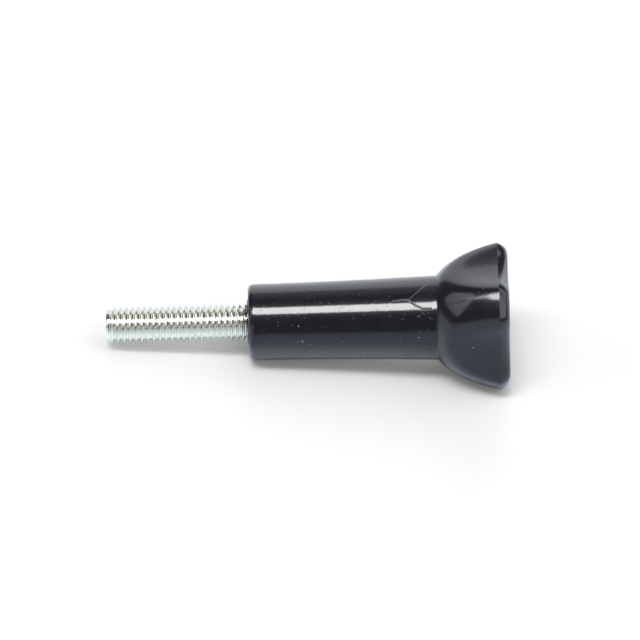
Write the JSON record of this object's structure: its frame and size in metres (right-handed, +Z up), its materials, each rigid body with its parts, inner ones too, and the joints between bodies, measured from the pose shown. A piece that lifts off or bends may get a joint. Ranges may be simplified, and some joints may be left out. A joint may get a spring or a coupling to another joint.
{
  "type": "thumb screw",
  "caption": "Long thumb screw: a glossy black plastic knob with a slender, flaring barrel and a bell-shaped, scalloped head, moulded round a zinc-plated steel screw.",
  "frame": {"origin": "centre of the face of the raised ring, where the thread leaves the knob", "axes": "+Z up from the surface that the thumb screw lies on; the screw's axis lies in the XZ plane, from the tip at -X to the head at +X, and rises towards the head by 5.66 degrees"},
  "size_m": [0.0544, 0.0168, 0.0167],
  "materials": {
    "black_plastic": "polished mould finish with a few hairline scratches and dust specks",
    "zinc_plated_steel": "bright zinc plating on a rolled thread, slightly green-grey"
  },
  "bodies": {
    "root": {"knob": "black_plastic", "threaded_stud": "zinc_plated_steel"}
  },
  "joints": []
}
